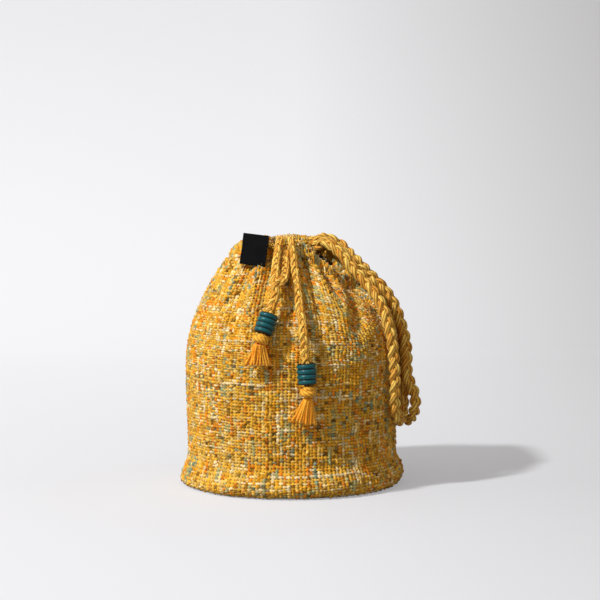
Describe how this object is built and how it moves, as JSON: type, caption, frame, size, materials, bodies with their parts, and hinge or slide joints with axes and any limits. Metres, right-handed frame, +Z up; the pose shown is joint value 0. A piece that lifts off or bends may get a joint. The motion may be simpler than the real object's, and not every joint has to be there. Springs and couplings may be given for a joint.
{
  "type": "potli drawstring bag",
  "caption": "Soft handloom tweed pouch on a flat oval base, gathered at the mouth by a plaited drawstring with sliding ribbed beads and tassels, with plaited carrying loops.",
  "frame": {"origin": "middle of the base, on the surface that the bag stands on", "axes": "+Z up through the mouth, -Y towards the front with the beads and tassels, +X towards the side where the carrying loops hang"},
  "size_m": [0.2038, 0.1711, 0.2168],
  "materials": {
    "tweed": "thick handloom tweed in mustard, orange, cream and teal yarns",
    "lining": "plain dark slate cotton",
    "cord": "plaited mustard cotton yarn",
    "tassel": "cut orange yellow cotton yarn",
    "bead": "turned and ribbed, lacquered teal",
    "label": "plain black woven satin"
  },
  "bodies": {
    "bag": {"front_panel": "tweed", "back_panel": "tweed", "base_panel": "tweed", "lining_wall": "lining", "lining_base": "lining", "drawstring_run": "cord", "drawstring_left_end": "cord", "drawstring_right_end": "cord", "drawstring_short_end": "cord", "left_knot": "cord", "right_knot": "cord", "left_tassel": "tassel", "right_tassel": "tassel", "inner_carry_loop": "cord", "outer_carry_loop": "cord", "label": "label"},
    "left_bead": {"left_bead": "bead"},
    "right_bead": {"right_bead": "bead"}
  },
  "joints": [
    {"name": "left_bead_slide", "type": "slide", "parent": "bag", "child": "left_bead", "axis": [0.3169, 0.2496, 0.915], "range_m": [0, 0.008]},
    {"name": "right_bead_slide", "type": "slide", "parent": "bag", "child": "right_bead", "axis": [-0.0733, 0.0581, 0.9956], "range_m": [0, 0.015]}
  ]
}
